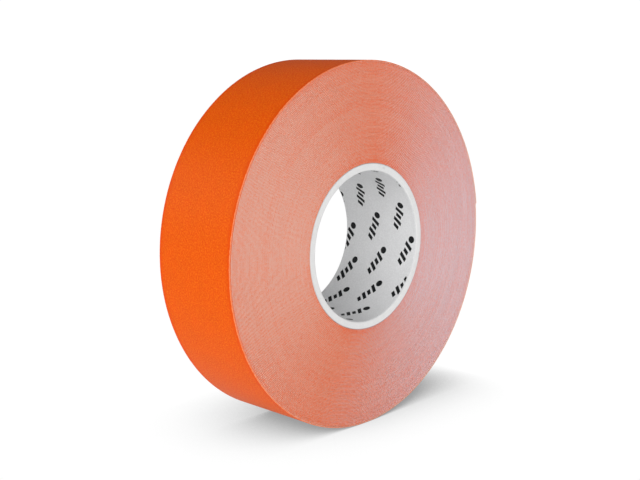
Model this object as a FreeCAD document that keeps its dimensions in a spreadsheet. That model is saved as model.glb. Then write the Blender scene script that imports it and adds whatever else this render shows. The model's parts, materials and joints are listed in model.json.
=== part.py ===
import FreeCAD, Part
import os

import Sketcher

# A roll of grip tape: one long strip of coated tape, wound together with its release film
# on a spiral-wound paper core.
#
# Frame: +Z up. The roll stands on its tread with its axis along Y, and the origin is on the
# floor under the middle of the roll. Angles go round the axis from +X towards +Z. Seen from
# -Y the strip is wound clockwise, and its free end points down the +X side.

# Driving dimensions, in millimetres and degrees.
SIZES = {
    # the wound strip: one turn is the tape and its film together
    "tape_width": 50.0,
    "roll_radius": 92.5,
    "turn_pitch": 0.69,
    "film_thickness": 0.10,
    # height of the axis: the soft tread is pressed flat where it stands
    "axis_height": 92.0,
    # the free end of the strip, from its cut edge back to the line it lifts about
    "end_angle": 8.0,
    "free_sweep": 16.0,
    "free_clearance": 0.15,
    "hinge_gap_sweep": 0.15,
    # the paper core
    "bore_radius": 38.1,
    "liner_thickness": 0.30,
    "ply_thickness": 0.56,
    "wrap_thickness": 0.34,
    # the slit left where a ply's two edges meet, and how far it climbs in one turn
    "seam_gap": 0.40,
    "seam_lead": 109.0,
    # the adhesive strip that holds the first turn on the core
    "start_thickness": 0.10,
    "start_width": 46.0,
    "start_angle": 60.0,
    "start_sweep": 24.0,
    # how far a cutting shape reaches past what it cuts
    "overrun": 1.0,
}
PLY_COUNT = 6
LINER_SEAM_ANGLE = 250.0
PLY_SEAM_STEP = 137.0
QUARTER_TURN = "90"
HALF_TURN = "180"
FULL_TURN = "360"
# the largest share of a ply that its slit may take
SLIT_SHARE_LIMIT = 0.01

WALL = f"(sizes.liner_thickness + {PLY_COUNT} * sizes.ply_thickness + sizes.wrap_thickness)"
CORE_RADIUS = f"(sizes.bore_radius + {WALL})"
UNDER_TURN = "(sizes.roll_radius - sizes.turn_pitch)"
OVER_FILM = f"({UNDER_TURN} + sizes.film_thickness)"

doc = FreeCAD.newDocument("grip_tape_roll")
sheet = doc.addObject("Spreadsheet::Sheet", "sizes")
for row, (alias, number) in enumerate(SIZES.items(), start=1):
    sheet.set(f"A{row}", alias)
    sheet.set(f"B{row}", str(number))
    sheet.setAlias(f"B{row}", alias)
doc.recompute()

sub_parts = []


def bind(thing, **expressions):
    """Tie an object's properties to the sheet."""
    for name, text in expressions.items():
        thing.setExpression(name, text)


def finish(thing, label):
    """Give a sub-part its name and list it for writing."""
    thing.Label = label
    sub_parts.append(thing)
    return thing


# ---------------------------------------------------------------- the paper core

def sketch_on(body, role, name):
    """A new sketch on one of the body's own origin planes."""
    plane = next(item for item in body.Origin.OriginFeatures if item.Role == role)
    sketch = body.newObject("Sketcher::SketchObject", name)
    sketch.AttachmentSupport = [(plane, "")]
    sketch.MapMode = "FlatFace"
    return sketch


def measure(sketch, name, constraint, text):
    """Add a named dimension to a sketch and tie it to the sheet."""
    sketch.renameConstraint(sketch.addConstraint(constraint), name)
    sketch.setExpression(f"Constraints.{name}", text)


def ring_sketch(body, inner, outer):
    """A ply's two wall circles, about the roll's axis."""
    sketch = sketch_on(body, "XZ_Plane", "ring")
    drawn = SIZES["bore_radius"]
    for name, text in (("inner", inner), ("outer", outer)):
        drawn += SIZES["ply_thickness"]
        circle = Part.Circle(FreeCAD.Vector(), FreeCAD.Vector(0, 0, 1), drawn)
        edge = sketch.addGeometry(circle, False)
        sketch.addConstraint(Sketcher.Constraint("Coincident", edge, 3, -1, 1))
        measure(sketch, name, Sketcher.Constraint("Radius", edge, drawn), text)
    return sketch


def slit_sketch(body, inner, outer):
    """The section of the slit between a ply's edges, drawn just off the end of the ring."""
    left = SIZES["bore_radius"]
    right = left + SIZES["overrun"]
    below = -SIZES["tape_width"] / 2 - SIZES["overrun"]
    above = below + SIZES["seam_gap"]
    corners = [
        FreeCAD.Vector(left, below, 0),
        FreeCAD.Vector(right, below, 0),
        FreeCAD.Vector(right, above, 0),
        FreeCAD.Vector(left, above, 0),
    ]
    sketch = sketch_on(body, "XY_Plane", "slit")
    for side, corner in enumerate(corners):
        following = corners[(side + 1) % len(corners)]
        sketch.addGeometry(Part.LineSegment(corner, following), False)
    for side in range(len(corners)):
        following = (side + 1) % len(corners)
        sketch.addConstraint(Sketcher.Constraint("Coincident", side, 2, following, 1))
        direction = "Vertical" if side % 2 else "Horizontal"
        sketch.addConstraint(Sketcher.Constraint(direction, side))
    measure(sketch, "inner", Sketcher.Constraint("DistanceX", -1, 1, 0, 1, left),
            f"{inner} - sizes.overrun")
    measure(sketch, "outer", Sketcher.Constraint("DistanceX", -1, 1, 0, 2, right),
            f"{outer} + sizes.overrun")
    measure(sketch, "off_end", Sketcher.Constraint("DistanceY", 0, 1, -1, 1, -below),
            "sizes.tape_width / 2 + sizes.overrun")
    measure(sketch, "gap", Sketcher.Constraint("DistanceY", 1, 1, 1, 2, above - below),
            "sizes.seam_gap")
    return sketch


def paper_ply(label, inner, outer, seam_angle):
    """One strip of paper wound in a helix, edge to edge, and cut off square with the core."""
    body = doc.addObject("PartDesign::Body", label)
    wall = body.newObject("PartDesign::Pad", "wall")
    wall.Profile = ring_sketch(body, inner, outer)
    wall.SideType = "Symmetric"
    bind(wall, Length="sizes.tape_width")
    doc.recompute()

    seam = body.newObject("PartDesign::SubtractiveHelix", "seam")
    seam.Profile = slit_sketch(body, inner, outer)
    seam.ReferenceAxis = (seam.Profile[0], ["V_Axis"])
    seam.Mode = "pitch-height-angle"
    bind(seam, Pitch="sizes.seam_lead", Height="sizes.tape_width + 2 * sizes.overrun")
    body.Tip = seam

    place = "vector(0; 0; sizes.axis_height)"
    bind(body, Placement=f"placement({place}; rotation(vector(0; -1; 0); {seam_angle}))")
    doc.recompute()
    slit_volume = wall.Shape.Volume - seam.Shape.Volume
    if not 0 < slit_volume < SLIT_SHARE_LIMIT * wall.Shape.Volume:
        raise RuntimeError(f"{label}: its seam doesn't cut one narrow slit")
    return finish(body, label)


def paper_core():
    """A printed liner, the board plies and an outer wrap, each glued on the one below."""
    inner, outer = "sizes.bore_radius", "(sizes.bore_radius + sizes.liner_thickness)"
    seam_angle = LINER_SEAM_ANGLE
    paper_ply("core_liner", inner, outer, seam_angle)
    for ply in range(1, PLY_COUNT + 1):
        inner = outer
        outer = f"(sizes.bore_radius + sizes.liner_thickness + {ply} * sizes.ply_thickness)"
        seam_angle += PLY_SEAM_STEP
        paper_ply(f"core_ply_{ply}", inner, outer, seam_angle)
    paper_ply("core_wrap", outer, CORE_RADIUS, seam_angle + PLY_SEAM_STEP)


# ---------------------------------------------------------------- the wound strip

def wedge(name, radius, start="0", sweep=FULL_TURN, shift="0", width="sizes.tape_width"):
    """A slice of a cylinder about the roll's axis, from the start angle round by the sweep.

    Its centre may be shifted from the axis, straight away from the strip's free end."""
    piece = doc.addObject("Part::Cylinder", name)
    place = (
        f"vector(-({shift}) * cos(sizes.end_angle * 1deg); {width} / 2; "
        f"sizes.axis_height - ({shift}) * sin(sizes.end_angle * 1deg))"
    )
    turn = f"rotation(vector(1; 0; 0); {QUARTER_TURN}) * rotation(vector(0; 0; 1); {start})"
    bind(piece, Radius=radius, Angle=sweep, Height=width, Placement=f"placement({place}; {turn})")
    return piece


def wound_disc(name, radius):
    """A disc whose edge is the strip's spiral, which steps in by one turn at the free end.

    The spiral is two half circles: the second is half a turn's thickness smaller and its
    centre lies the same distance back, so that they meet smoothly opposite the step."""
    half_pitch = "sizes.turn_pitch / 2"
    near = wedge(f"{name}_near", radius, "sizes.end_angle", HALF_TURN)
    far = wedge(f"{name}_far", f"{radius} - {half_pitch}", f"sizes.end_angle + {HALF_TURN}",
                HALF_TURN, shift=half_pitch)
    disc = doc.addObject("Part::MultiFuse", name)
    disc.Shapes = [near, far]
    return disc


def cut(name, whole, tool):
    """The whole less the tool."""
    result = doc.addObject("Part::Cut", name)
    result.Base = whole
    result.Tool = tool
    return result


def start_strip():
    """The adhesive strip on the core under the first turn."""
    outside = f"{CORE_RADIUS} + sizes.start_thickness"
    patch = wedge("start_patch", outside, "sizes.start_angle", "sizes.start_sweep",
                  width="sizes.start_width")
    return finish(cut("start_on_core", patch, wedge("start_bed", CORE_RADIUS)), "start_strip")


def wound_tape(strip):
    """Every turn under the outermost one, tape and film together, around core and strip."""
    on_core = cut("turns_on_core", wound_disc("turns", UNDER_TURN), wedge("core_hole", CORE_RADIUS))
    return finish(cut("turns_on_strip", on_core, strip), "wound_tape")


def outermost_turn(name, inner, outer):
    """One layer of the last turn, from under the free end round to the line it lifts about."""
    layer = cut(f"{name}_layer", wound_disc(f"{name}_outside", outer),
                wound_disc(f"{name}_inside", inner))
    free = wedge(f"{name}_free", "sizes.roll_radius + sizes.overrun", "sizes.end_angle",
                 "sizes.free_sweep + sizes.hinge_gap_sweep")
    return cut(f"{name}_stuck", layer, free)


def pressed_flat(name, layer):
    """The layer less what the floor presses in under the roll."""
    floor = doc.addObject("Part::Box", f"{name}_floor")
    bind(floor, Length="2 * sizes.roll_radius", Width="2 * sizes.tape_width", Height="sizes.overrun",
         Placement="placement(vector(-sizes.roll_radius; -sizes.tape_width; -sizes.overrun);"
                   " rotation(vector(0; 0; 1); 0))")
    return cut(f"{name}_flat", layer, floor)


def free_end(name, inner, outer):
    """One layer of the strip's free end, lying just clear of the turn under it."""
    outside = wedge(f"{name}_outside", f"{outer} + sizes.free_clearance", "sizes.end_angle",
                    "sizes.free_sweep")
    inside = wedge(f"{name}_inside", f"{inner} + sizes.free_clearance")
    return cut(f"{name}_piece", outside, inside)


def wound_strip():
    """The strip from its start on the core to its free end."""
    wound_tape(start_strip())
    film = outermost_turn("film", UNDER_TURN, OVER_FILM)
    finish(film, "outer_film_turn")
    tape = outermost_turn("tape", OVER_FILM, "sizes.roll_radius")
    finish(pressed_flat("tape", tape), "outer_tape_turn")
    finish(free_end("end_film", UNDER_TURN, OVER_FILM), "film_free_end")
    finish(free_end("end_tape", OVER_FILM, "sizes.roll_radius"), "tape_free_end")


def write_parts():
    """Check every object, then write one file for each sub-part."""
    doc.recompute()
    for thing in doc.Objects:
        if "Invalid" in thing.State or "Error" in thing.State:
            raise RuntimeError(f"{thing.Label} failed: {thing.State}")
    for thing in sub_parts:
        if thing.Shape.isNull() or not thing.Shape.isValid() or len(thing.Shape.Solids) != 1:
            raise RuntimeError(f"{thing.Label} isn't one valid solid")
    os.makedirs("parts", exist_ok=True)
    for thing in sub_parts:
        thing.Shape.exportStep(os.path.join("parts", f"{thing.Label}.step"))
        print(f"{thing.Label}: {thing.Shape.Volume:.1f} mm3")


paper_core()
wound_strip()
write_parts()
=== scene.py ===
import json
import math

import bmesh
import bpy
from mathutils import Matrix, Vector, noise


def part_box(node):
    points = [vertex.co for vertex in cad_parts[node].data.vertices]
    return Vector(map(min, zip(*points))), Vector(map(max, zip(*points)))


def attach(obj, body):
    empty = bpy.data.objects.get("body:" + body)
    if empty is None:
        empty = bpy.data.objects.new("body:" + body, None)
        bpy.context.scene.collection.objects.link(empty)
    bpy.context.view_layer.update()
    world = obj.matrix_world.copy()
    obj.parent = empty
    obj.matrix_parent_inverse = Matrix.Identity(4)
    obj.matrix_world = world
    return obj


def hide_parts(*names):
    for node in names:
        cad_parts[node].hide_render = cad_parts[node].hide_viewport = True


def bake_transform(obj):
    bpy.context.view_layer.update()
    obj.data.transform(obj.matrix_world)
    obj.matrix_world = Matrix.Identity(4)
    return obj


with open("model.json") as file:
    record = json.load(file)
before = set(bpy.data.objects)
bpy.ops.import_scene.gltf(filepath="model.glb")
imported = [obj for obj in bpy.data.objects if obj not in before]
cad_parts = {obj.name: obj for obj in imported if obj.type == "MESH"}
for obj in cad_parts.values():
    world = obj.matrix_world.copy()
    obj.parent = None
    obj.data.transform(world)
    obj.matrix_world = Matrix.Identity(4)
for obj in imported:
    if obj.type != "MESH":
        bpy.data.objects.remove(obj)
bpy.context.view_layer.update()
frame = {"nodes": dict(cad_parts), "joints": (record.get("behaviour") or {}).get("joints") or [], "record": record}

# A roll of grip tape on a paper core, standing on its tread. Metres. The roll's axis runs
# along Y. Angles are in degrees round that axis, from +X towards +Z, and "across" is the
# distance along Y from the middle of the tape's width.

MM = 0.001


# ---------------------------------------------------------------- sizes

def box_radius(node):
    """Half the height of a round CAD node."""
    low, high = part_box(node)
    return (high.z - low.z) / 2


bore = next(mount for mount in frame["record"]["mounts"] if mount["name"] == "core_bore")
hinge = Vector(frame["joints"][0]["pos_m"])

AXIS_HEIGHT = bore["pos_m"][2]
WIDTH = bore["dims"]["length_mm"] * MM
HALF_WIDTH = WIDTH / 2
BORE_RADIUS = bore["dims"]["r_mm"] * MM
CORE_RADIUS = box_radius("core_wrap")
ROLL_RADIUS = -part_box("outer_tape_turn")[0].x
FREE_END_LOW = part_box("tape_free_end")[0].z - AXIS_HEIGHT

# One turn of the winding is the film and the tape on it.
TURNS = round((ROLL_RADIUS - CORE_RADIUS) / (ROLL_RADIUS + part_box("wound_tape")[0].x))
PITCH = (ROLL_RADIUS - CORE_RADIUS) / TURNS
FILM = 0.15 * PITCH
UNDER_TURN = ROLL_RADIUS - PITCH

# The free end lies on the hidden side, with the hinge line a little way back.
LIFT_ANGLE = math.degrees(math.atan2(hinge.z - AXIS_HEIGHT, hinge.x))
END_ANGLE = math.degrees(math.asin(FREE_END_LOW / ROLL_RADIUS))
BEND_SPAN = 4.0
JOIN_ANGLE = LIFT_ANGLE + 4 * BEND_SPAN

# The core: each ply is a strip wound in a helix, whose edges meet at a slanting seam.
PLIES = ["core_liner", *(f"core_ply_{number}" for number in range(1, 7)), "core_wrap"]
SEAM_LEAD = 109 * MM
SEAM_GAP = 1.3
LINER_SEAM_ANGLE = 246.0
PLY_SEAM_STEP = 137.0
LIP = 0.9 * MM
PLY_STEPS = 180
FRAY = 0.05 * MM
FRAY_RATE = 9
FRAY_NEXT_PLY = 3.7

# The wrap is cut a little short of the width, so its edge lies in the shade of its neighbours. Its grey colour is
# painted shade as well.
WRAP_CUT_BACK = 0.45 * MM


def on_roll(angle, radius, across):
    """A point given by its angle round the axis, its radius and its place across the width."""
    turn = math.radians(angle)
    return Vector((radius * math.cos(turn), across, AXIS_HEIGHT + radius * math.sin(turn)))


def noise_round(angle, rate, place):
    """Noise that meets itself after a whole turn round the axis."""
    turn = math.radians(angle)
    return noise.noise(Vector((math.cos(turn) * rate, math.sin(turn) * rate, place)))


def spiral_radius(outside, wound):
    """The radius of a wound surface, so many degrees back from the strip's free end.

    It keeps its radius for half a turn, then eases in by one turn's thickness."""
    turns, part = divmod(wound, 360)
    eased = 0 if part <= 180 else (1 + math.cos(math.radians(part))) / 2
    return outside - PITCH * (turns + eased)


def rounded(inset, depth, radius):
    """Move a point near a square corner on to a round one. Both are distances into the piece."""
    away = (radius - inset, radius - depth)
    reach = math.hypot(*away)
    if min(away) <= 0 or reach <= radius:
        return inset, depth
    return radius - away[0] * radius / reach, radius - away[1] * radius / reach


# ---------------------------------------------------------------- mesh building

SHARP_ANGLE = 50


def make_piece(name, points, faces, finishes, finish_of_face):
    """An object made of the points and faces, with its normals in agreement and crisp edges."""
    mesh = bpy.data.meshes.new(name)
    mesh.from_pydata(points, [], faces)
    for finish in finishes:
        mesh.materials.append(finish)
    mesh.polygons.foreach_set("material_index", finish_of_face)
    shape = bmesh.new()
    shape.from_mesh(mesh)
    bmesh.ops.recalc_face_normals(shape, faces=shape.faces)
    shape.to_mesh(mesh)
    shape.free()
    mesh.polygons.foreach_set("use_smooth", [True] * len(mesh.polygons))
    mesh.set_sharp_from_angle(angle=math.radians(SHARP_ANGLE))
    piece = bpy.data.objects.new(name, mesh)
    bpy.context.scene.collection.objects.link(piece)
    return piece


def add_tape_places(piece, places):
    """Store where each point lies on the flat tape, in millimetres: along, across, radius."""
    layer = piece.data.attributes.new("tape_place", "FLOAT_VECTOR", "POINT")
    layer.data.foreach_set("vector", [value / MM for place in places for value in place])


def make_block(name, along, across, through, place, finishes, finish_of=None):
    """The closed skin of a bent block, one grid on each of its six sides.

    along, across and through are the grid's steps, place(a, c, t) gives a point, and
    finish_of(side, outer) gives a face's finish."""
    points, index, faces, face_finish = [], {}, [], []
    last = (len(along) - 1, len(across) - 1, len(through) - 1)

    def corner(*at):
        if at not in index:
            index[at] = len(points)
            points.append(place(along[at[0]], across[at[1]], through[at[2]]))
        return index[at]

    for fixed, side in ((0, "end"), (1, "edge"), (2, "skin")):
        first, second = (axis for axis in range(3) if axis != fixed)
        for level in (0, last[fixed]):
            for i in range(last[first]):
                for j in range(last[second]):
                    ring = []
                    for step_i, step_j in ((0, 0), (1, 0), (1, 1), (0, 1)):
                        at = [level] * 3
                        at[first] = i + step_i
                        at[second] = j + step_j
                        ring.append(corner(*at))
                    faces.append(ring)
                    face_finish.append(finish_of(side, level > 0) if finish_of else 0)
    return make_piece(name, points, faces, finishes, face_finish)


def edge_steps(half, fine, count):
    """Steps across a width: fine ones by each edge, then even ones."""
    inner = half - fine[-1]
    even = [inner * (2 * step / count - 1) for step in range(1, count)]
    left = [distance - half for distance in fine]
    return [*left, *even, *(-value for value in reversed(left))]


def angle_steps(start, end, step):
    """Even steps from one angle to another, about so far apart."""
    count = max(1, round(abs(end - start) / step))
    return [start + (end - start) * number / count for number in range(count + 1)]


# ---------------------------------------------------------------- material building

def add_node(tree, kind, inputs=None, **settings):
    """A new node. An input is a plain value, or a socket to link from."""
    node = tree.nodes.new(kind)
    for name, value in settings.items():
        setattr(node, name, value)
    for key, value in (inputs or {}).items():
        if isinstance(value, bpy.types.NodeSocket):
            tree.links.new(value, node.inputs[key])
        else:
            node.inputs[key].default_value = value
    return node


NOISE_BAND = (0.3, 0.7)     # what noise mostly lies between


def calculate(tree, operation, *values):
    node = add_node(tree, "ShaderNodeMath", dict(enumerate(values)), operation=operation)
    return node.outputs[0]


def blend_colours(tree, share, first, second, kind="MIX"):
    inputs = {"Factor": share, "A": first, "B": second}
    node = tree.nodes.new("ShaderNodeMix")
    node.data_type = "RGBA"
    node.blend_type = kind
    sockets = {socket.identifier: socket for socket in node.inputs}
    chosen = {"Factor": "Factor_Float", "A": "A_Color", "B": "B_Color"}
    for key, value in inputs.items():
        socket = sockets[chosen[key]]
        if isinstance(value, bpy.types.NodeSocket):
            tree.links.new(value, socket)
        else:
            socket.default_value = value
    return next(socket for socket in node.outputs if socket.identifier == "Result_Color")


def remap(tree, value, low, high, out_low=0.0, out_high=1.0):
    inputs = {"Value": value, "From Min": low, "From Max": high,
              "To Min": out_low, "To Max": out_high}
    return add_node(tree, "ShaderNodeMapRange", inputs).outputs["Result"]


def make_noise(tree, place, scale, detail=2.0, rough=0.5):
    inputs = {"Vector": place, "Scale": scale, "Detail": detail, "Roughness": rough}
    return add_node(tree, "ShaderNodeTexNoise", inputs).outputs["Fac"]


def start_group(name, inputs, outputs):
    """An empty shader group. Inputs are name: default, and outputs are name: kind."""
    group = bpy.data.node_groups.new(name, "ShaderNodeTree")
    kinds = {float: "NodeSocketFloat", tuple: "NodeSocketVector"}
    for label, value in inputs.items():
        is_colour = isinstance(value, tuple) and len(value) == 4
        kind = "NodeSocketColor" if is_colour else kinds[type(value)]
        socket = group.interface.new_socket(label, in_out="INPUT", socket_type=kind)
        socket.default_value = value
    for label, kind in outputs.items():
        group.interface.new_socket(label, in_out="OUTPUT", socket_type=f"NodeSocket{kind}")
    given = group.nodes.new("NodeGroupInput").outputs
    result = group.nodes.new("NodeGroupOutput").inputs
    return group, given, result


def use_group(tree, group, **inputs):
    named = {name.replace("_", " "): value for name, value in inputs.items()}
    return add_node(tree, "ShaderNodeGroup", named, node_tree=group).outputs


def start_material(name, **constants):
    """A material with a Principled BSDF whose plain values are set on its own sockets."""
    material = bpy.data.materials.new(name)
    material.use_nodes = True
    tree = material.node_tree
    tree.nodes.clear()
    shader = add_node(tree, "ShaderNodeBsdfPrincipled")
    for label, value in constants.items():
        shader.inputs[label.replace("_", " ")].default_value = value
    output = tree.nodes.new("ShaderNodeOutputMaterial")
    tree.links.new(shader.outputs[0], output.inputs["Surface"])
    return material, tree, shader


def connect(tree, shader, **sockets):
    for label, socket in sockets.items():
        tree.links.new(socket, shader.inputs[label.replace("_", " ")])


def bump(tree, height, distance, strength=1.0):
    inputs = {"Height": height, "Distance": distance, "Strength": strength}
    return add_node(tree, "ShaderNodeBump", inputs).outputs["Normal"]


# ---------------------------------------------------------------- shared effects

SPECK_BAND = (0.42, 0.72)
BLOTCH_SPREAD = 9.0     # how many specks wide a blotch is
BLOTCH_SHADE = (0.45, 0.45, 0.45, 1.0)


def make_mottle():
    """Soft blotches and fine specks over a base colour, with the grain's height."""
    group, given, result = start_group(
        "mottle",
        {"Place": (0.0, 0.0, 0.0), "Base": (0.5, 0.5, 0.5, 1.0), "Speck": (1.0, 1.0, 1.0, 1.0),
         "Speck Size": 1.0, "Speck Share": 0.2, "Blotch Share": 0.1},
        {"Color": "Color", "Height": "Float", "Blotch": "Float"},
    )
    fine = calculate(group, "DIVIDE", 1.0, given["Speck Size"])
    coarse = calculate(group, "DIVIDE", fine, BLOTCH_SPREAD)
    grain = make_noise(group, given["Place"], fine, detail=3.0, rough=0.6)
    blotch = make_noise(group, given["Place"], coarse)
    specks = remap(group, grain, *SPECK_BAND)
    speck_share = calculate(group, "MULTIPLY", specks, given["Speck Share"])
    dark = remap(group, blotch, *NOISE_BAND)
    blotch_share = calculate(group, "MULTIPLY", dark, given["Blotch Share"])
    darker = blend_colours(group, 1.0, given["Base"], BLOTCH_SHADE, "MULTIPLY")
    shaded = blend_colours(group, blotch_share, given["Base"], darker)
    colour = blend_colours(group, speck_share, shaded, given["Speck"])
    group.links.new(colour, result["Color"])
    group.links.new(grain, result["Height"])
    group.links.new(blotch, result["Blotch"])
    return group


# The edge band's noise and reach, used for the rubbed wear and for the painted rim highlight.
WEAR_AND_HIGHLIGHT_SCALE = 0.8
WEAR_AND_HIGHLIGHT_RAGGED = 0.35      # how far the noise moves the worn band's inner side
WEAR_AND_HIGHLIGHT_FULL = 0.3         # where the wear is complete, as a share of the band


def make_edge_wear_and_highlight():
    """A mask that rises towards both edges of the width, broken up by noise. It sets the rubbed wear and also a
    painted highlight along the rim.
    """
    group, given, result = start_group(
        "edge_wear_and_highlight",
        {"Place": (0.0, 0.0, 0.0), "Across": 0.0, "Half Width": 25.0, "Band": 0.5},
        {"Mask": "Float"},
    )
    from_middle = calculate(group, "ABSOLUTE", given["Across"])
    inside = calculate(group, "SUBTRACT", given["Half Width"], from_middle)
    near = calculate(group, "DIVIDE", inside, given["Band"])
    ragged = make_noise(group, given["Place"], WEAR_AND_HIGHLIGHT_SCALE)
    moved = remap(group, ragged, *NOISE_BAND, -WEAR_AND_HIGHLIGHT_RAGGED, WEAR_AND_HIGHLIGHT_RAGGED)
    reach = calculate(group, "ADD", near, moved)
    group.links.new(remap(group, reach, WEAR_AND_HIGHLIGHT_FULL, 1.0, 1.0, 0.0), result["Mask"])
    return group


def make_ring_place():
    """The place round the roll's axis: the radius in millimetres, and a vector that keeps
    its value along each ring, so that noise read from it makes rings."""
    group, given, result = start_group(
        "ring_place",
        {"Axis Height": 0.0},
        {"Radius": "Float", "Rings": "Vector", "Place": "Vector"},
    )
    place = add_node(group, "ShaderNodeTexCoord").outputs["Object"]
    parts = add_node(group, "ShaderNodeSeparateXYZ", {0: place}).outputs
    up = calculate(group, "SUBTRACT", parts["Z"], given["Axis Height"])
    flat = add_node(group, "ShaderNodeCombineXYZ", {"X": parts["X"], "Z": up}).outputs[0]
    length = add_node(group, "ShaderNodeVectorMath", {0: flat}, operation="LENGTH")
    in_mm = calculate(group, "DIVIDE", length.outputs["Value"], MM)
    way = add_node(group, "ShaderNodeVectorMath", {0: flat}, operation="NORMALIZE").outputs[0]
    ways = add_node(group, "ShaderNodeSeparateXYZ", {0: way}).outputs
    ring = add_node(group, "ShaderNodeCombineXYZ", {"X": ways["X"], "Y": in_mm, "Z": ways["Z"]})
    plain = add_node(group, "ShaderNodeVectorMath", {0: place, "Scale": 1 / MM},
                     operation="SCALE")
    group.links.new(in_mm, result["Radius"])
    group.links.new(ring.outputs[0], result["Rings"])
    group.links.new(plain.outputs[0], result["Place"])
    return group


STREAK_SCALE = 1.6
STREAK_BAND = (0.3, 0.75)
WIDE_STREAK_SCALE = 0.22
WIDE_STREAK_SHARE = 0.2
PATCH_SCALE = 0.9
PATCH_BAND = (0.35, 0.65)
PATCH_SHARE = 0.8
CORE_AND_RIM_REACH = 7.0       # millimetres from the core and the rim
CORE_AND_RIM_FALL = 1.6
CORE_AND_RIM_SHARE = 0.35
FIBRE_SCALE = 3.2
FIBRE_BAND = (0.55, 0.8)
FLECK_SHARE = 0.35
FLECK = (1.0, 0.92, 0.88, 1.0)


def make_cut_streaks():
    """What a slitting blade leaves on the wound edges: streaks along the rings and small fibres. The smear colour
    also rises close to the core and the rim."""
    group, given, result = start_group(
        "cut_streaks",
        {"Radius": 0.0, "Rings": (0.0, 0.0, 0.0), "Place": (0.0, 0.0, 0.0),
         "Inner Radius": 40.0, "Outer Radius": 90.0,
         "Base": (0.5, 0.5, 0.5, 1.0), "Smear": (1.0, 0.5, 0.2, 1.0), "Smear Share": 0.3},
        {"Color": "Color", "Height": "Float", "Streak": "Float"},
    )
    streak = make_noise(group, given["Rings"], STREAK_SCALE, detail=3.0, rough=0.6)
    wide = make_noise(group, given["Rings"], WIDE_STREAK_SCALE)
    fibres = make_noise(group, given["Place"], FIBRE_SCALE, detail=3.0, rough=0.65)
    patches = make_noise(group, given["Place"], PATCH_SCALE, detail=3.0, rough=0.7)
    from_core = calculate(group, "SUBTRACT", given["Radius"], given["Inner Radius"])
    from_rim = calculate(group, "SUBTRACT", given["Outer Radius"], given["Radius"])
    nearest = calculate(group, "MINIMUM", from_core, from_rim)
    near_edge = remap(group, nearest, 0.0, CORE_AND_RIM_REACH, 1.0, 0.0)
    softened = calculate(group, "POWER", near_edge, CORE_AND_RIM_FALL)
    narrow = remap(group, streak, *STREAK_BAND)
    broad = remap(group, wide, *NOISE_BAND, -WIDE_STREAK_SHARE, WIDE_STREAK_SHARE)
    along = calculate(group, "ADD", narrow, broad)
    patchy = remap(group, patches, *PATCH_BAND, -PATCH_SHARE, PATCH_SHARE)
    both = calculate(group, "ADD", along, patchy)
    smear = calculate(group, "MULTIPLY", both, given["Smear Share"])
    by_edge = calculate(group, "MULTIPLY", softened, CORE_AND_RIM_SHARE)
    share = remap(group, calculate(group, "ADD", smear, by_edge), 0.0, 1.0)
    smeared = blend_colours(group, share, given["Base"], given["Smear"])
    fleck_share = remap(group, fibres, *FIBRE_BAND, 0.0, FLECK_SHARE)
    flecked = blend_colours(group, fleck_share, smeared, FLECK)
    group.links.new(flecked, result["Color"])
    group.links.new(fibres, result["Height"])
    group.links.new(streak, result["Streak"])
    return group


mottle = make_mottle()
edge_wear_and_highlight = make_edge_wear_and_highlight()
ring_place = make_ring_place()
cut_streaks = make_cut_streaks()


# ---------------------------------------------------------------- finishes

ORANGE = (0.85, 0.08, 0.0, 1.0)
PALE_ORANGE = (1.0, 0.25, 0.005, 1.0)
# Lighter orange at the tape's edges: partly wear, partly a painted highlight of the rounded rim.
WORN_HIGHLIGHT_ORANGE = (1.0, 0.36, 0.14, 1.0)
CORE_WHITE = (0.81, 0.805, 0.80, 1.0)
PAPER_WHITE = (0.68, 0.68, 0.685, 1.0)
PAPER_FIBRE = (0.9, 0.91, 0.92, 1.0)
# The wrap is white paper; this grey is painted shade, so its thin edge reads as a dark line round the core.
WRAP_PAINTED_SHADE_GREY = (0.5, 0.48, 0.47, 1.0)
FILM_GREY = (0.78, 0.76, 0.74, 1.0)
FILM_HAZE = (0.9, 0.88, 0.86, 1.0)
INK_BLACK = (0.003, 0.003, 0.004, 1.0)
INK_THIN = (0.02, 0.02, 0.022, 1.0)
GLUE_AMBER = (0.72, 0.62, 0.4, 1.0)
GLUE_PALE = (0.85, 0.8, 0.62, 1.0)

RUBBED_BAND = 3.2       # millimetres at each side of the tread with fewer specks
WORN_HIGHLIGHT_BAND = 0.5
SPECK_SHARES = (0.7, 0.1)
PEBBLE_SCALE = 2.1
PEBBLE_SHARE = 0.5


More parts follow.
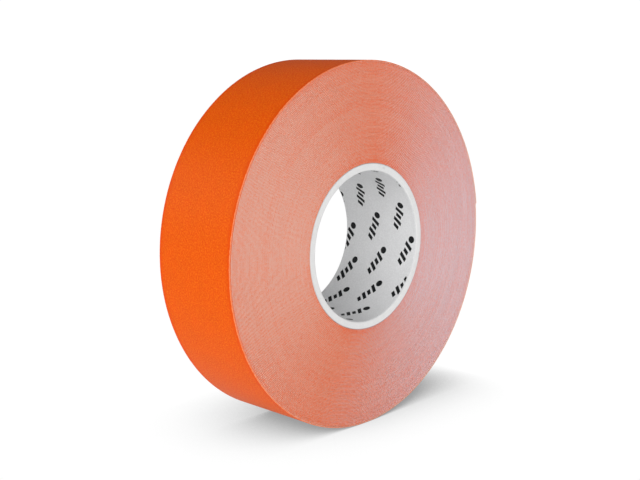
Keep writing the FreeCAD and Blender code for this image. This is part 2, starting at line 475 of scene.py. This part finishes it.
def coated_tape():
    """The soft coated face: matte, with a fine pebbled grain and rubbed edges, and a lighter rim band that is
    partly wear and partly a painted highlight.
    """
    material, tree, shader = start_material("coated_tape", Specular_IOR_Level=0.06)
    place = add_node(tree, "ShaderNodeAttribute", attribute_name="tape_place").outputs["Vector"]
    parts = add_node(tree, "ShaderNodeSeparateXYZ", {0: place}).outputs
    flat = add_node(tree, "ShaderNodeCombineXYZ", {"X": parts["X"], "Y": parts["Y"]}).outputs[0]
    rubbed = use_group(tree, edge_wear_and_highlight, Place=flat, Across=parts["Y"],
                       Half_Width=HALF_WIDTH / MM, Band=RUBBED_BAND)
    specks = remap(tree, rubbed["Mask"], 0.0, 1.0, *SPECK_SHARES)
    coat = use_group(tree, mottle, Place=flat, Base=ORANGE, Speck=PALE_ORANGE, Speck_Size=0.8,
                     Speck_Share=specks, Blotch_Share=0.1)
    worn_highlight = use_group(tree, edge_wear_and_highlight, Place=flat, Across=parts["Y"],
                     Half_Width=HALF_WIDTH / MM, Band=WORN_HIGHLIGHT_BAND)
    # The lighter band at each edge is partly wear and partly a painted highlight.
    colour = blend_colours(tree, worn_highlight["Mask"], coat["Color"], WORN_HIGHLIGHT_ORANGE)
    pebbles = add_node(tree, "ShaderNodeTexVoronoi", {"Vector": flat, "Scale": PEBBLE_SCALE},
                       feature="SMOOTH_F1")
    rise = calculate(tree, "MULTIPLY", pebbles.outputs["Distance"], PEBBLE_SHARE)
    height = calculate(tree, "ADD", coat["Height"], rise)
    connect(tree, shader, Base_Color=colour,
            Normal=bump(tree, height, distance=0.00008, strength=0.6),
            Roughness=remap(tree, coat["Height"], *NOISE_BAND, 0.5, 0.4))
    return material


def wound_edge(name, base, smear, smear_share, rough):
    """The slit edge of one layer of the wound strip."""
    material, tree, shader = start_material(name, Anisotropic=0.75, Specular_IOR_Level=0.4,
                                            Sheen_Weight=0.1, Sheen_Roughness=0.4)
    ring = use_group(tree, ring_place, Axis_Height=AXIS_HEIGHT)
    cut = use_group(tree, cut_streaks, Radius=ring["Radius"], Rings=ring["Rings"],
                    Place=ring["Place"], Inner_Radius=CORE_RADIUS / MM,
                    Outer_Radius=ROLL_RADIUS / MM, Base=base, Smear=smear,
                    Smear_Share=smear_share)
    tangent = add_node(tree, "ShaderNodeTangent", direction_type="RADIAL", axis="Y").outputs[0]
    connect(tree, shader, Base_Color=cut["Color"],
            Normal=bump(tree, cut["Height"], distance=0.00004, strength=0.5),
            Roughness=remap(tree, cut["Streak"], *NOISE_BAND, rough - 0.06, rough + 0.06),
            Tangent=tangent)
    return material


def paper(name, base, fibre_size, rough, blotches):
    """Smooth paper or board, with faint fibres."""
    material, tree, shader = start_material(name, Specular_IOR_Level=0.4)
    ring = use_group(tree, ring_place, Axis_Height=AXIS_HEIGHT)
    sheet = use_group(tree, mottle, Place=ring["Place"], Base=base, Speck=PAPER_FIBRE,
                      Speck_Size=fibre_size, Speck_Share=0.35, Blotch_Share=blotches)
    connect(tree, shader, Base_Color=sheet["Color"],
            Normal=bump(tree, sheet["Height"], distance=0.00003, strength=0.5),
            Roughness=remap(tree, sheet["Blotch"], *NOISE_BAND, rough - 0.05, rough + 0.05))
    return material


def release_film():
    """Thin frosted film, a little cloudy."""
    material, tree, shader = start_material("release_film", Specular_IOR_Level=0.5)
    place = add_node(tree, "ShaderNodeAttribute", attribute_name="tape_place").outputs["Vector"]
    haze = use_group(tree, mottle, Place=place, Base=FILM_GREY, Speck=FILM_HAZE,
                     Speck_Size=2.5, Speck_Share=0.4, Blotch_Share=0.1)
    connect(tree, shader, Base_Color=haze["Color"],
            Normal=bump(tree, haze["Height"], distance=0.00002, strength=0.4),
            Roughness=remap(tree, haze["Blotch"], *NOISE_BAND, 0.28, 0.4))
    return material


def printing_ink():
    """Matte black ink, thinner in places."""
    material, tree, shader = start_material("printing_ink", Specular_IOR_Level=0.15)
    ring = use_group(tree, ring_place, Axis_Height=AXIS_HEIGHT)
    ink = use_group(tree, mottle, Place=ring["Place"], Base=INK_BLACK, Speck=INK_THIN,
                    Speck_Size=0.5, Speck_Share=0.6, Blotch_Share=0.1)
    connect(tree, shader, Base_Color=ink["Color"],
            Roughness=remap(tree, ink["Height"], *NOISE_BAND, 0.4, 0.6))
    return material


def adhesive():
    """The tacky strip on the core, amber and slightly uneven."""
    material, tree, shader = start_material("start_adhesive", Specular_IOR_Level=0.5)
    ring = use_group(tree, ring_place, Axis_Height=AXIS_HEIGHT)
    glue = use_group(tree, mottle, Place=ring["Place"], Base=GLUE_AMBER, Speck=GLUE_PALE,
                     Speck_Size=1.5, Speck_Share=0.5, Blotch_Share=0.2)
    connect(tree, shader, Base_Color=glue["Color"],
            Normal=bump(tree, glue["Height"], distance=0.00003, strength=0.5),
            Roughness=remap(tree, glue["Blotch"], *NOISE_BAND, 0.2, 0.35))
    return material


coat_face = coated_tape()
coat_edge = wound_edge("coat_edge", base=(0.84, 0.26, 0.14, 1.0), smear=(0.86, 0.15, 0.035, 1.0),
                       smear_share=0.6, rough=0.42)
film_outside = wound_edge("film_outside", base=(0.82, 0.70, 0.62, 1.0),
                          smear=(0.84, 0.54, 0.42, 1.0), smear_share=0.5, rough=0.45)
film_inside = wound_edge("film_inside", base=(0.70, 0.66, 0.76, 1.0),
                         smear=(0.73, 0.50, 0.53, 1.0), smear_share=0.5, rough=0.4)
film_face = release_film()
liner_paper = paper("liner_paper", PAPER_WHITE, fibre_size=0.8, rough=0.45, blotches=0.06)
core_board = paper("core_board", CORE_WHITE, fibre_size=0.6, rough=0.62, blotches=0.1)
# The wrap's grey is painted shade.
wrap_paper_painted_shade = paper("wrap_paper_painted_shade", WRAP_PAINTED_SHADE_GREY, fibre_size=0.9, rough=0.6, blotches=0.08)
ink_black = printing_ink()
start_glue = adhesive()
LAYERS = [coat_face, coat_edge, film_outside, film_inside]
COAT_FACE, COAT_EDGE, FILM_OUTSIDE, FILM_INSIDE = range(4)


# ---------------------------------------------------------------- the wound turns

# One turn of the wound face, from its inner side out: the share of the pitch, how far the
# edge lies below the film's edge in millimetres, and the layer up to the next point. The
# film is a little wider than the tape, so it stands proud as a thin pale fin.
TURN_EDGE = (
    (0.00, 0.36, FILM_INSIDE),
    (0.015, 0.02, FILM_OUTSIDE),
    (0.05, 0.00, FILM_OUTSIDE),
    (0.08, 0.30, COAT_EDGE),
    (0.34, 0.27, COAT_EDGE),
    (0.70, 0.30, COAT_EDGE),
    (0.96, 0.36, COAT_EDGE),
)
FACE_INSET = 0.05
STEPS_PER_TURN = 96
START_SHARE = 0.95
SLIP_TURN, SLIP_DRIFT, SLIP_ROUND = 0.05, 0.08, 0.05     # millimetres
SLIP_TURN_RATE, SLIP_DRIFT_RATE, SLIP_ROUND_RATE = 1.3, 0.11, 1.5
SLIP_ROUND_NEXT = 0.4
SLIP_SIDES_APART = 5.0


def slip(side, wound, angle):
    """How far a turn has slipped sideways: a little from turn to turn and round each turn."""
    turns = wound / 360
    apart = side * SLIP_SIDES_APART
    by_turn = noise.noise(Vector((turns * SLIP_TURN_RATE, apart, 0.5)))
    drift = noise.noise(Vector((turns * SLIP_DRIFT_RATE, apart, 8.5)))
    round_turn = noise_round(angle, SLIP_ROUND_RATE, turns * SLIP_ROUND_NEXT + side)
    return (SLIP_TURN * by_turn + SLIP_DRIFT * drift + SLIP_ROUND * round_turn) * MM


def wound_face(side, points):
    """Add one ribbed face of the winding. Returns its faces, their layers, and its rim and
    inner boundary as lists of points in order."""
    rows = len(TURN_EDGE)
    total = round((TURNS - 2 + START_SHARE) * STEPS_PER_TURN)
    first = len(points)
    for step in range(total + 1):
        wound = step * 360 / STEPS_PER_TURN
        angle = END_ANGLE + wound
        outer = spiral_radius(UNDER_TURN, wound)
        inner = max(outer - PITCH, CORE_RADIUS)
        shift = slip(side, wound, angle)
        for share, depth, _ in TURN_EDGE:
            across = side * (HALF_WIDTH - (depth + FACE_INSET) * MM + shift)
            points.append(on_roll(angle, inner + share * (outer - inner), across))
    rim = len(points)
    for step in range(STEPS_PER_TURN):
        wound = step * 360 / STEPS_PER_TURN
        across = side * (HALF_WIDTH - (TURN_EDGE[0][1] + FACE_INSET) * MM)
        points.append(on_roll(END_ANGLE + wound, spiral_radius(UNDER_TURN, wound), across))

    def outer_point(step):
        if step >= STEPS_PER_TURN:
            return first + (step - STEPS_PER_TURN) * rows
        return rim + step

    faces, layers = [], []
    for step in range(total):
        here, there = first + step * rows, first + (step + 1) * rows
        for row in range(rows):
            if row < rows - 1:
                faces.append((here + row, there + row, there + row + 1, here + row + 1))
            else:
                faces.append((here + row, there + row, outer_point(step + 1), outer_point(step)))
            layers.append(TURN_EDGE[row][2])
    outside = [outer_point(step) for step in range(STEPS_PER_TURN + 1)]
    inside = [first + step * rows for step in range(total - STEPS_PER_TURN, total + 1)]
    end_cut = [first + row for row in range(rows)] + [rim]
    start_cut = [first + total * rows + row for row in range(rows)] + [outer_point(total)]
    return faces, layers, (outside, inside, end_cut, start_cut)


def wound_turns():
    """Every turn under the outermost one, as one body with a ribbed spiral on each face."""
    points = []
    faces, layers, front = wound_face(-1, points)
    back_faces, back_layers, back = wound_face(1, points)
    faces += back_faces
    layers += back_layers
    walls = (COAT_FACE, FILM_INSIDE, COAT_EDGE, COAT_EDGE)
    for front_line, back_line, layer in zip(front, back, walls):
        for at in range(len(front_line) - 1):
            faces.append((front_line[at], front_line[at + 1], back_line[at + 1], back_line[at]))
            layers.append(layer)
    places = []
    for point in points:
        up = point.z - AXIS_HEIGHT
        angle = math.degrees(math.atan2(up, point.x))
        along = math.radians(angle % 360) * ROLL_RADIUS
        places.append((along, point.y, math.hypot(point.x, up)))
    piece = make_piece("wound_turns", points, faces, LAYERS, layers)
    add_tape_places(piece, places)
    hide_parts("wound_tape")
    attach(piece, "root")


# ---------------------------------------------------------------- the outermost turn and free end

CORNER = 0.4 * MM
TAPE_HALF = HALF_WIDTH - 0.03 * MM
FILM_HALF = HALF_WIDTH - 0.12 * MM
TAPE_EDGE = [0.0, 0.05 * MM, 0.11 * MM, 0.18 * MM, 0.3 * MM, 0.8 * MM, 2 * MM]
TAPE_ACROSS = edge_steps(TAPE_HALF, TAPE_EDGE, 24)
TAPE_THROUGH = (0.0, 0.45, 0.75, 0.88, 1.0)
FILM_ACROSS = edge_steps(FILM_HALF, [0.0, 0.05 * MM, 1 * MM], 12)
FILM_THROUGH = (0.0, 1.0)
TURN_STEP = 1.0
FREE_END_STEP = 0.5
SLOW_RIPPLE, QUICK_RIPPLE = 0.05, 0.02      # millimetres

# How far the free end's cut edge stands off the turn under it.
END_RISE = 0.12 * MM


def tape_ripple(angle, across):
    """The last turn isn't quite round: it follows the small unevenness of those below."""
    slow = noise_round(angle, 4, across * 30)
    quick = noise_round(angle, 14, across * 120)
    return (SLOW_RIPPLE * slow + QUICK_RIPPLE * quick) * MM


def end_rise(angle):
    """How far the free end stands off the turn under it, rising towards its cut edge."""
    span = LIFT_ANGLE + BEND_SPAN - END_ANGLE
    share = min(max((LIFT_ANGLE + BEND_SPAN - angle) / span, 0), 1)
    return END_RISE * share * share


def strip_block(name, angles, low, high, across, through, finishes, finish_of):
    """A stretch of one layer of the outermost turn. low and high are its radii where the
    strip ends; angles count on past a whole turn."""
    thickness = high - low
    places = []

    def place(angle, at, share):
        wound = angle - END_ANGLE
        half = across[-1]
        inset, depth = rounded(half - abs(at), (1 - share) * thickness, min(CORNER, thickness))
        side = math.copysign(half - inset, at)
        radius = spiral_radius(high, wound) - depth + end_rise(angle)
        radius += tape_ripple(angle, side) * share
        point = on_roll(angle, radius, side)
        point.z = max(point.z, 0)       # pressed flat where the roll stands
        places.append((math.radians(angle) * ROLL_RADIUS, side, radius))
        return point

    piece = make_block(name, angles, across, through, place, finishes, finish_of)
    add_tape_places(piece, places)
    return piece


def tape_layer(side, outer):
    """The coating is outside, the adhesive inside, and the edges are slit."""
    if side == "skin":
        return COAT_FACE if outer else FILM_OUTSIDE
    return COAT_EDGE


def outermost_turn():
    """The last turn and the free end, tape over film."""
    far = angle_steps(JOIN_ANGLE, END_ANGLE + 360, TURN_STEP)
    near = angle_steps(END_ANGLE, JOIN_ANGLE, FREE_END_STEP)
    over_film = UNDER_TURN + FILM
    bend = [on_roll(LIFT_ANGLE + sign * BEND_SPAN, ROLL_RADIUS, 0) for sign in (1, -1)]
    for name, angles in (("outer_turn", far), ("free_end", near)):
        tape = strip_block(f"{name}_tape", angles, over_film, ROLL_RADIUS, TAPE_ACROSS,
                           TAPE_THROUGH, LAYERS, tape_layer)
        film = strip_block(f"{name}_film", angles, UNDER_TURN, over_film, FILM_ACROSS,
                           FILM_THROUGH, [film_face], None)
        if name == "outer_turn":
            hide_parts("outer_tape_turn")
            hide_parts("outer_film_turn")
            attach(tape, "root")
            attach(film, "root")
        else:
            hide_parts("tape_free_end")
            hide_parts("film_free_end")
            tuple(bend[0])
            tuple(bend[1])
            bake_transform(tape)
            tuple(bend[0])
            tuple(bend[1])
            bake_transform(film)


# ---------------------------------------------------------------- the paper core

PLY_EDGE = [0.0, 0.1 * MM, 0.25 * MM, 0.45 * MM, 0.7 * MM, 1.0 * MM]
LINER_ACROSS = edge_steps(HALF_WIDTH, PLY_EDGE, 80)
PLY_ACROSS = edge_steps(HALF_WIDTH, PLY_EDGE, 40)
PLY_THROUGH = (0.0, 0.5, 1.0)


def seam_angle(number, across):
    """Where a ply's seam crosses a place on the width."""
    return LINER_SEAM_ANGLE + number * PLY_SEAM_STEP - 360 * (across + HALF_WIDTH) / SEAM_LEAD


def core_ply(number, node, finish):
    """One ply of the core: a strip wound in a helix, its ends cut and rolled in at the bore."""
    low, high = ply_radii(number)
    kept = 1 - (WRAP_CUT_BACK / HALF_WIDTH if node == "core_wrap" else 0)

    def place(share, at, depth):
        radius = low + depth * (high - low)
        inset, from_bore = rounded(HALF_WIDTH - abs(at), radius - BORE_RADIUS, LIP)
        across = math.copysign(HALF_WIDTH - inset, at)
        angle = seam_angle(number, across) + SEAM_GAP / 2 + share * (360 - SEAM_GAP)
        if inset < LIP:
            fray = noise_round(angle, FRAY_RATE, number * FRAY_NEXT_PLY)
            across -= math.copysign(FRAY * (0.5 + fray) * (1 - inset / LIP), at)
        return on_roll(angle, BORE_RADIUS + from_bore, across * kept)

    steps = [step / PLY_STEPS for step in range(PLY_STEPS + 1)]
    across_steps = PLY_ACROSS if number else LINER_ACROSS
    piece = make_block(f"{node}_paper", steps, across_steps, PLY_THROUGH, place, [finish])
    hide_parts(node)
    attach(piece, "root")


def ply_radii(number):
    """A ply's inner and outer radius: each ply lies on the one before it."""
    high = box_radius(PLIES[number])
    low = box_radius(PLIES[number - 1]) if number else BORE_RADIUS
    return low, high


def paper_core():
    """The printed liner, the board plies and the wrap, from the bore out."""
    core_ply(0, "core_liner", liner_paper)
    for number in range(1, len(PLIES) - 1):
        core_ply(number, PLIES[number], core_board)
    core_ply(len(PLIES) - 1, "core_wrap", wrap_paper_painted_shade)


# ---------------------------------------------------------------- the printed marks

# The liner is printed with a generic mark, over and over: slanting bars and a dot. The marks
# are laid out on the flat paper, along the bore and across it, then wrapped on to the wall.
MARK_FIRST = (-51.4, -5.6 * MM)
MARK_NEXT = (18.8 * MM, 4.8 * MM)
MARK_ROW = (-7.9 * MM, 18.3 * MM)
MARK_TILT = math.radians(-24)
MARK_ROWS = range(-4, 5)
MARKS_IN_ROW = range(-16, 17)
MARK_REACH = 8 * MM     # how far past the liner's ends a mark may be centred
BAR = (2.0 * MM, 5.3 * MM)
BAR_SLANT = 0.35
BAR_SPACING = 3.2 * MM
BAR_COUNT = 4
SHORT_BAR = 0.66
BAR_CUTS = 3
DOT_RADIUS = 1.9 * MM
DOT_STEP = 15
INK = 0.02 * MM
PRINT_MARGIN = 0.9 * MM


def mark_outlines():
    """The outlines of one mark, in its own flat frame."""
    outlines = []
    wide, tall = BAR
    start = -(BAR_COUNT * BAR_SPACING + 2 * DOT_RADIUS) / 2
    for number in range(BAR_COUNT):
        left = start + number * BAR_SPACING
        height = tall * (1.0 if number % 2 else SHORT_BAR)
        corners = ((0, -1), (1, -1), (1, 1), (0, 1))
        outlines.append([Vector((left + x * wide + y * BAR_SLANT * height / 2, y * height / 2, 0))
                         for x, y in corners])
    middle = Vector((start + BAR_COUNT * BAR_SPACING + DOT_RADIUS, 0, 0))
    ring = [math.radians(angle) for angle in range(0, 360, DOT_STEP)]
    outlines.append([middle + DOT_RADIUS * Vector((math.cos(turn), math.sin(turn), 0))
                     for turn in ring])
    return outlines


def flat_print():
    """All the marks on the flat liner, as outlines trimmed at its two ends."""
    shape = bmesh.new()
    turn = Matrix.Rotation(MARK_TILT, 4, "Z")
    first = Vector((math.radians(MARK_FIRST[0]) * BORE_RADIUS, MARK_FIRST[1], 0))
    for row in MARK_ROWS:
        for number in MARKS_IN_ROW:
            centre = first + number * Vector((*MARK_NEXT, 0)) + row * Vector((*MARK_ROW, 0))
            if abs(centre.y) > HALF_WIDTH + MARK_REACH or not in_strip(centre):
                continue
            for outline in mark_outlines():
                corners = [shape.verts.new(turn @ corner + centre) for corner in outline]
                shape.faces.new(corners)
    bmesh.ops.subdivide_edges(shape, edges=long_edges(shape), cuts=BAR_CUTS)
    limit = HALF_WIDTH - PRINT_MARGIN
    for side in (-1, 1):
        trim(shape, Vector((0, side * limit, 0)), Vector((0, side, 0)))
    bmesh.ops.triangulate(shape, faces=shape.faces)
    return shape


def long_edges(shape):
    """The bars' long sides, which need points between their ends to follow the wall."""
    return [edge for edge in shape.edges if edge.calc_length() > BAR[0] * 1.2]


def in_strip(centre):
    """Whether a mark's centre lies on the liner, between one seam and the next."""
    seam = math.radians(seam_angle(0, centre.y) - 360) * BORE_RADIUS
    round_bore = math.radians(360) * BORE_RADIUS
    return seam < centre.x <= seam + round_bore


def trim(shape, point, outward):
    """Cut away what lies past a plane."""
    everything = [*shape.verts, *shape.edges, *shape.faces]
    bmesh.ops.bisect_plane(shape, geom=everything, plane_co=point, plane_no=outward,
                           clear_outer=True)


def printed_marks():
    """The ink: a thin skin of print on the bore wall."""
    shape = flat_print()
    below = bmesh.ops.extrude_face_region(shape, geom=list(shape.faces), use_keep_orig=True)
    for item in below["geom"]:
        if isinstance(item, bmesh.types.BMVert):
            item.co.z = INK
    for vert in shape.verts:
        angle = math.degrees(vert.co.x / BORE_RADIUS)
        vert.co = on_roll(angle, BORE_RADIUS - vert.co.z + INK / 4, vert.co.y)
    bmesh.ops.recalc_face_normals(shape, faces=shape.faces)
    mesh = bpy.data.meshes.new("printed_marks")
    shape.to_mesh(mesh)
    shape.free()
    mesh.materials.append(ink_black)
    piece = bpy.data.objects.new("printed_marks", mesh)
    bpy.context.scene.collection.objects.link(piece)
    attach(piece, "root")


# ---------------------------------------------------------------- studio

CAMERA_AZIMUTH = -46.1
CAMERA_ELEVATION = 9.96
CAMERA_DISTANCE = 5.885 * ROLL_RADIUS
CAMERA_LENS = 59.12
CAMERA_NEAR = 0.01
AIM_RIGHT = -0.0687 * ROLL_RADIUS
AIM_UP = 0.0041 * ROLL_RADIUS
TABLE_HALF = 12.0
TABLE_DROP = 0.0002
TABLE_GLOW = 1.01
TABLE_BOUNCE = 0.8
# The table's shadow is painted: these set how its glow is dimmed near the roll, and LIT_FROM tilts the occlusion's
# hemisphere.
SHADOW_REACH = 0.05
SHADOW_DEPTH = 1.7
SHADOW_FALL = 1.4
SHADOW_FLOOR = 0.3
SHADOW_SAMPLES = 16
LIT_FROM = (-0.75, -0.43, 0.5)
WHITE = (1.0, 1.0, 1.0, 1.0)
BLACK = (0.0, 0.0, 0.0, 1.0)
SEEN_WHITE = 1.05
SOFT_FILL = 0.2

# Each softbox's place, its width and height, and its power.
SOFTBOXES = {
    "key_softbox": ((-2.46, -1.56, 0.86), (3.0, 2.4), 73),
    "upper_front_softbox": ((0.55, -1.3, 1.5), (0.9, 0.7), 4.5),
    "front_softbox": ((1.25, -1.5, 0.32), (0.9, 0.7), 4),
    "back_softbox": ((-1.3, 2.2, 0.9), (1.5, 1.2), 12),
    "right_softbox": ((2.1, 0.7, 0.3), (1.4, 1.0), 9),
}


def add_camera():
    """The camera looks at a point near the roll's middle, from its front left."""
    azimuth, elevation = math.radians(CAMERA_AZIMUTH), math.radians(CAMERA_ELEVATION)
    back = Vector((math.sin(azimuth) * math.cos(elevation),
                   -math.cos(azimuth) * math.cos(elevation), math.sin(elevation)))
    right = (-back).cross(Vector((0, 0, 1))).normalized()
    up = right.cross(-back)
    aim = Vector((0, 0, AXIS_HEIGHT)) + AIM_RIGHT * right + AIM_UP * up
    camera = bpy.data.objects.new("camera", bpy.data.cameras.new("camera"))
    camera.data.lens = CAMERA_LENS
    camera.data.clip_start = CAMERA_NEAR
    camera.location = aim + CAMERA_DISTANCE * back
    camera.rotation_euler = back.to_track_quat("Z", "Y").to_euler()
    bpy.context.scene.collection.objects.link(camera)
    bpy.context.scene.camera = camera


def add_softbox(name, place, size, power):
    """A rectangular light facing the middle of the roll."""
    light = bpy.data.lights.new(name, "AREA")
    light.shape = "RECTANGLE"
    light.size, light.size_y = size
    light.energy = power
    softbox = bpy.data.objects.new(name, light)
    softbox.location = place
    aim = Vector(place) - Vector((0, 0, AXIS_HEIGHT))
    softbox.rotation_euler = aim.to_track_quat("Z", "Y").to_euler()
    bpy.context.scene.collection.objects.link(softbox)


def add_floor():
    """A glowing white table, larger than the view, with a painted shadow: its glow is dimmed by ambient occlusion
    where the roll is near.
    """
    corners = [(x * TABLE_HALF, y * TABLE_HALF, -TABLE_DROP)
               for x, y in ((-1, -1), (1, -1), (1, 1), (-1, 1))]
    mesh = bpy.data.meshes.new("table")
    mesh.from_pydata(corners, [], [(0, 1, 2, 3)])
    table = bpy.data.objects.new("table", mesh)
    bpy.context.scene.collection.objects.link(table)
    material, tree, shader = start_material("white_table", Roughness=1.0, Specular_IOR_Level=0.0)
    shader.inputs["Base Color"].default_value = BLACK
    shader.inputs["Emission Color"].default_value = WHITE
    # Painted shadow: the glow is dimmed by ambient occlusion, not by the softboxes.
    forward = add_node(tree, "ShaderNodeCombineXYZ", dict(enumerate(LIT_FROM))).outputs[0]
    inputs = {"Distance": SHADOW_REACH, "Normal": forward}
    open_sky = add_node(tree, "ShaderNodeAmbientOcclusion", inputs,
                        samples=SHADOW_SAMPLES).outputs["AO"]
    hidden = calculate(tree, "POWER", calculate(tree, "SUBTRACT", 1.0, open_sky), SHADOW_FALL)
    shade = calculate(tree, "MULTIPLY", hidden, SHADOW_DEPTH)
    shaded = calculate(tree, "SUBTRACT", TABLE_GLOW, shade)
    glow = calculate(tree, "MAXIMUM", shaded, SHADOW_FLOOR)
    is_camera = add_node(tree, "ShaderNodeLightPath").outputs["Is Camera Ray"]
    share = remap(tree, is_camera, 0.0, 1.0, TABLE_BOUNCE, 1.0)
    connect(tree, shader, Emission_Strength=calculate(tree, "MULTIPLY", glow, share))
    table.data.materials.append(material)


def add_world():
    """White to the camera, a dimmer soft light on the roll."""
    world = bpy.data.worlds.new("studio")
    bpy.context.scene.world = world
    world.use_nodes = True
    tree = world.node_tree
    tree.nodes.clear()
    seen = add_node(tree, "ShaderNodeBackground", {"Color": WHITE, "Strength": SEEN_WHITE})
    lit = add_node(tree, "ShaderNodeBackground", {"Color": WHITE, "Strength": SOFT_FILL})
    is_camera = add_node(tree, "ShaderNodeLightPath").outputs["Is Camera Ray"]
    both = add_node(tree, "ShaderNodeMixShader",
                    {0: is_camera, 1: lit.outputs[0], 2: seen.outputs[0]})
    output = tree.nodes.new("ShaderNodeOutputWorld")
    tree.links.new(both.outputs[0], output.inputs["Surface"])


add_camera()
wound_turns()
outermost_turn()
paper_core()
printed_marks()
for finish_slot in frame["nodes"]["start_strip"].material_slots:
    finish_slot.material = start_glue

add_world()
add_floor()
for softbox_name, (place, size, power) in SOFTBOXES.items():
    add_softbox(softbox_name, place, size, power)
bpy.context.scene.view_settings.view_transform = "Standard"
